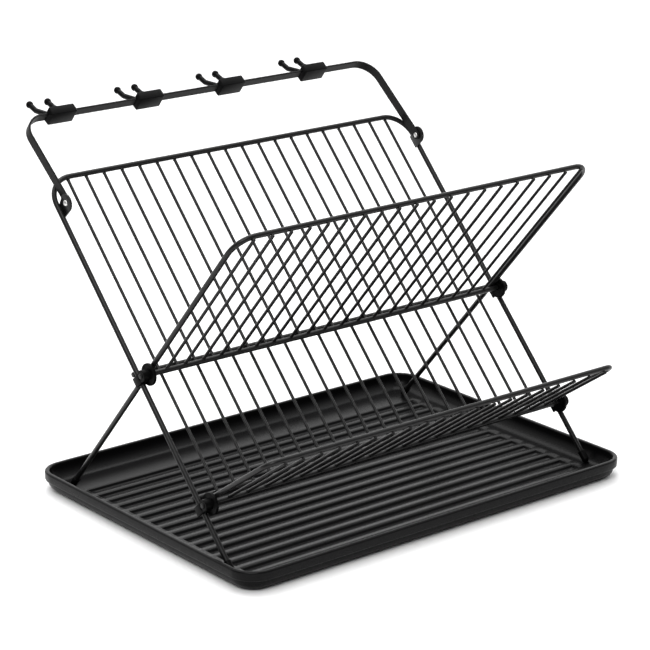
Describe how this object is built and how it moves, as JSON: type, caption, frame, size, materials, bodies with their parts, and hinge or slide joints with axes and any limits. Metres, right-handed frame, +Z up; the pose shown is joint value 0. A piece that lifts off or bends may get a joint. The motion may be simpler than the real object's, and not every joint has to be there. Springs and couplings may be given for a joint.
{
  "type": "dish drying rack",
  "caption": "Folding two-tier dish drying rack: crossed wire racks with a lower cup rack and a hook rail, standing in a ribbed drip tray.",
  "frame": {"origin": "centre of the drip tray's underside", "axes": "+X along the rack to the right seen from the front, +Y to the back where the hook rail is, +Z up"},
  "size_m": [0.457, 0.4104, 0.3549],
  "materials": {
    "tray_plastic": "satin moulded plastic",
    "coated_wire": "fine powder coat, satin",
    "strip_steel": "fine powder coat, satin",
    "black_plastic": "satin moulded plastic",
    "rivet_steel": "plain steel"
  },
  "bodies": {
    "tray": {"drip_tray": "tray_plastic"},
    "back_frame": {"back_frame_loop": "coated_wire", "back_frame_rods": "coated_wire", "back_mid_bar": "coated_wire", "back_low_bar": "coated_wire", "rail_tab_left": "coated_wire", "rail_tab_right": "coated_wire", "rail_rivets": "rivet_steel", "upper_pivot_clip_left": "black_plastic", "upper_pivot_clip_right": "black_plastic", "lower_pivot_clip_left": "black_plastic", "lower_pivot_clip_right": "black_plastic", "back_foot_cap_left": "black_plastic", "back_foot_cap_right": "black_plastic"},
    "front_frame": {"front_frame_loop": "coated_wire", "front_frame_rods": "coated_wire", "front_pivot_bar": "coated_wire", "front_foot_cap_left": "black_plastic", "front_foot_cap_right": "black_plastic"},
    "lower_rack": {"lower_rack_loop": "coated_wire", "lower_rack_rods": "coated_wire", "lower_pivot_bar": "coated_wire"},
    "hook_rail": {"hook_rail": "strip_steel"},
    "clip_1": {"hook_clip_1": "black_plastic"},
    "clip_2": {"hook_clip_2": "black_plastic"},
    "clip_3": {"hook_clip_3": "black_plastic"},
    "clip_4": {"hook_clip_4": "black_plastic"}
  },
  "joints": [
    {"name": "rack_lift", "type": "slide", "parent": "tray", "child": "back_frame", "axis": [0, 0, 1], "range_m": [0, 0.18]},
    {"name": "front_fold", "type": "hinge", "parent": "back_frame", "child": "front_frame", "pos_m": [0, 0.0008, 0.15285], "axis": [-1, 0, 0], "range_deg": [0, 73]},
    {"name": "lower_fold", "type": "hinge", "parent": "back_frame", "child": "lower_rack", "pos_m": [0, -0.0889, 0.05816], "axis": [-1, 0, 0], "range_deg": [0, 97]},
    {"name": "rail_fold", "type": "hinge", "parent": "back_frame", "child": "hook_rail", "pos_m": [0, 0.12414, 0.2839], "axis": [1, 0, 0], "range_deg": [0, 187]},
    {"name": "clip_1_slide", "type": "slide", "parent": "hook_rail", "child": "clip_1", "axis": [1, 0, 0], "range_m": [-0.005, 0.035]},
    {"name": "clip_2_slide", "type": "slide", "parent": "hook_rail", "child": "clip_2", "axis": [1, 0, 0], "range_m": [-0.0245, 0.0155]},
    {"name": "clip_3_slide", "type": "slide", "parent": "hook_rail", "child": "clip_3", "axis": [1, 0, 0], "range_m": [-0.0215, 0.0185]},
    {"name": "clip_4_slide", "type": "slide", "parent": "hook_rail", "child": "clip_4", "axis": [1, 0, 0], "range_m": [-0.0245, 0.0355]}
  ],
  "couplings": [
    {"joint": "rack_lift", "follows": "front_fold", "m_per_rad": 0.13751}
  ]
}
